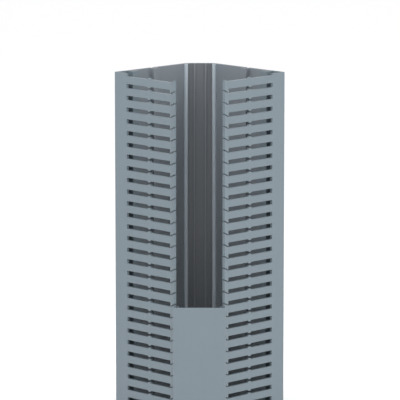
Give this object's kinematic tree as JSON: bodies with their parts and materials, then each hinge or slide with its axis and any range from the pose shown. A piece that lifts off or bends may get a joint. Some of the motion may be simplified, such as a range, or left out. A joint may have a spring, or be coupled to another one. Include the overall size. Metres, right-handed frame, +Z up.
{
  "type": "corner wiring duct",
  "caption": "Square wiring duct that stands in the corner of an enclosure, with slotted finger walls, a cut-off front corner and a clip-on cover that slides along it.",
  "frame": {"origin": "bottom centre of the duct's box, with the cover at rest on the same plane as the duct's lower end", "axes": "+Z up the duct; the rear faces look along -X and +Y, the cover faces between +X and -Y, and the slotted walls face -Y and +X"},
  "size_m": [0.1044, 0.1044, 0.3],
  "materials": {
    "rail_plastic": "grey extruded PVC",
    "panel_plastic": "grey extruded PVC",
    "wall_plastic": "grey extruded PVC",
    "cover_plastic": "grey extruded PVC, smoother than the duct"
  },
  "bodies": {
    "duct": {"back_rail": "rail_plastic", "left_rear_panel": "panel_plastic", "right_rear_panel": "panel_plastic", "left_side_wall": "wall_plastic", "right_side_wall": "wall_plastic"},
    "cover": {"cover": "cover_plastic"}
  },
  "joints": [
    {"name": "cover_slide", "type": "slide", "parent": "duct", "child": "cover", "axis": [0, 0, 1], "range_m": [0, 0.1925]}
  ]
}
